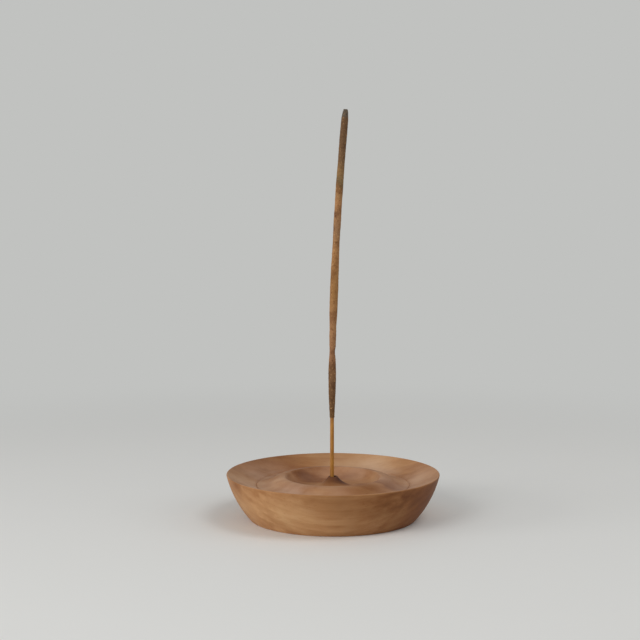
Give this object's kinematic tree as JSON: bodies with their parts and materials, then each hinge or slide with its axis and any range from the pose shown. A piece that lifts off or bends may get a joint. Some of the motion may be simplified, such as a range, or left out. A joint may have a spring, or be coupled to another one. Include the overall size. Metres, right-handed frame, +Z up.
{
  "type": "incense stick holder",
  "caption": "Round turned wooden dish with a ripple-cut inside, whose central peak holds an upright incense stick and whose rings catch its ash.",
  "frame": {"origin": "middle of the dish's foot, on the surface that it stands on", "axes": "+Z up along the turning axis, +X the way the stick bows, -Y towards the viewer of the picture"},
  "size_m": [0.108, 0.108, 0.2059],
  "materials": {
    "dish_wood": "oiled reddish-brown hardwood, satin, turned on a lathe",
    "bamboo": "bare split bamboo, dry, lengthwise fibres",
    "incense_paste": "dry hand-rolled wood-powder paste, matt and grainy, tan to dark brown"
  },
  "bodies": {
    "dish": {"turned_dish": "dish_wood"},
    "stick": {"bamboo_splint": "bamboo", "incense_paste": "incense_paste"}
  },
  "joints": [
    {"name": "stick_lift", "type": "slide", "parent": "dish", "child": "stick", "axis": [0, 0, 1], "range_m": [0, 0.02]}
  ]
}
